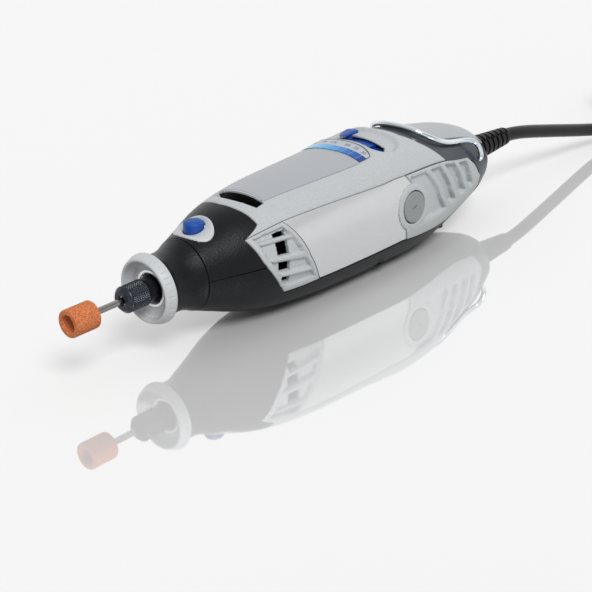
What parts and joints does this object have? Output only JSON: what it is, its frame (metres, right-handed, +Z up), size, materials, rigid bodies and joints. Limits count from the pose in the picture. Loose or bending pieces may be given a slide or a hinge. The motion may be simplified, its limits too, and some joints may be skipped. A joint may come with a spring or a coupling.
{
  "type": "rotary hobby tool",
  "caption": "Hand-held rotary tool with a grinding stone in its collet, lock button, speed slider, vented housing, wire bail and a cord with a plug, folded into a tied hank.",
  "frame": {"origin": "middle of the tool's length, on the surface it rests on", "axes": "+X along the spindle to the cord end, the nose at -X, +Z up, -Y the side towards the viewer"},
  "size_m": [0.5658, 0.0552, 0.0534],
  "materials": {
    "black_plastic": "fine pebble grain",
    "grey_plastic": "satin, fine grain",
    "light_plastic": "satin",
    "silver_plate": "satin",
    "slate_plastic": "satin",
    "blue_plastic": "satin",
    "scale_print": "printed film",
    "inner_plastic": "moulded",
    "steel": "machined",
    "dark_steel": "blackened, knurled",
    "chrome_wire": "bright",
    "copper": "enamelled wire",
    "brass": "turned",
    "carbon": "pressed carbon",
    "rubber": "matt",
    "plug_plastic": "moulded",
    "board": "board",
    "film": "moulded",
    "stone": "bonded grit"
  },
  "bodies": {
    "housing": {"nose_upper": "black_plastic", "button_bezel": "light_plastic", "bearing_sleeve": "inner_plastic", "front_bearing": "steel", "lock_guide": "inner_plastic", "lock_spring": "steel", "field_core": "steel", "field_coils": "copper", "field_seat": "inner_plastic", "fan_baffle": "inner_plastic", "rear_bearing_plate": "inner_plastic", "rear_bearing_mount": "rubber", "rear_bearing": "steel", "upper_housing": "grey_plastic", "top_panel": "grey_plastic", "lower_housing": "black_plastic", "left_grille": "grey_plastic", "right_grille": "grey_plastic", "left_plate": "silver_plate", "right_plate": "silver_plate", "left_intake": "grey_plastic", "right_intake": "grey_plastic", "brush_holders": "brass", "carbon_brushes": "carbon", "brush_springs": "steel", "speed_scale": "scale_print", "slider_track": "blue_plastic", "slider_switch": "inner_plastic", "speed_board": "board", "capacitor": "film", "housing_screws": "steel", "end_cap": "slate_plastic", "rear_hump": "grey_plastic", "strain_relief": "rubber", "cord_lead": "rubber", "cord_hank": "rubber", "cord_tail": "rubber", "cord_tie": "rubber", "plug": "plug_plastic"},
    "spindle": {"spindle": "steel", "armature_core": "steel", "armature_winding": "copper", "commutator": "copper", "cooling_fan": "inner_plastic", "front_bearing_inner": "steel", "rear_bearing_inner": "steel", "lock_collar": "steel", "collet": "steel"},
    "collet_nut": {"collet_nut": "dark_steel"},
    "grinding_bit": {"stone_shank": "steel", "grinding_stone": "stone"},
    "nose_cap": {"nose_cap": "black_plastic", "nose_ring": "light_plastic", "wrench_insert": "steel"},
    "lock_button": {"lock_button": "blue_plastic", "lock_pin": "steel"},
    "speed_slider": {"speed_slider": "blue_plastic"},
    "hanging_bail": {"hanging_bail": "chrome_wire"},
    "left_brush_cap": {"left_brush_cap": "grey_plastic"},
    "right_brush_cap": {"right_brush_cap": "grey_plastic"}
  },
  "joints": [
    {"name": "spindle_turn", "type": "hinge", "parent": "housing", "child": "spindle", "pos_m": [0, 0, 0.0248], "axis": [1, 0, 0], "continuous": true},
    {"name": "nut_turn", "type": "hinge", "parent": "spindle", "child": "collet_nut", "pos_m": [0, 0, 0.0248], "axis": [-1, 0, 0], "range_deg": [0, 360]},
    {"name": "bit_pull", "type": "slide", "parent": "spindle", "child": "grinding_bit", "axis": [-1, 0, 0], "range_m": [0, 0.02]},
    {"name": "nose_cap_turn", "type": "hinge", "parent": "housing", "child": "nose_cap", "pos_m": [0, 0, 0.0248], "axis": [-1, 0, 0], "range_deg": [0, 720]},
    {"name": "lock_press", "type": "slide", "parent": "housing", "child": "lock_button", "axis": [0, 0, -1], "range_m": [0, 0.0028], "stiffness_N_per_m": 700, "springref_m": -0.002, "deforming": ["lock_spring"]},
    {"name": "speed_slide", "type": "hinge", "parent": "housing", "child": "speed_slider", "pos_m": [0.0244, 0, 0.01446], "axis": [1, 0, 0], "range_deg": [-14.9, 24.3]},
    {"name": "bail_swing", "type": "hinge", "parent": "housing", "child": "hanging_bail", "pos_m": [0.0812, 0, 0.0283], "axis": [0, 1, 0], "range_deg": [0, 135]},
    {"name": "left_cap_turn", "type": "hinge", "parent": "housing", "child": "left_brush_cap", "pos_m": [0.0283, -0.024, 0.0248], "axis": [0, -1, 0], "range_deg": [0, 360]},
    {"name": "right_cap_turn", "type": "hinge", "parent": "housing", "child": "right_brush_cap", "pos_m": [0.0283, 0.024, 0.0248], "axis": [0, 1, 0], "range_deg": [0, 360]}
  ]
}
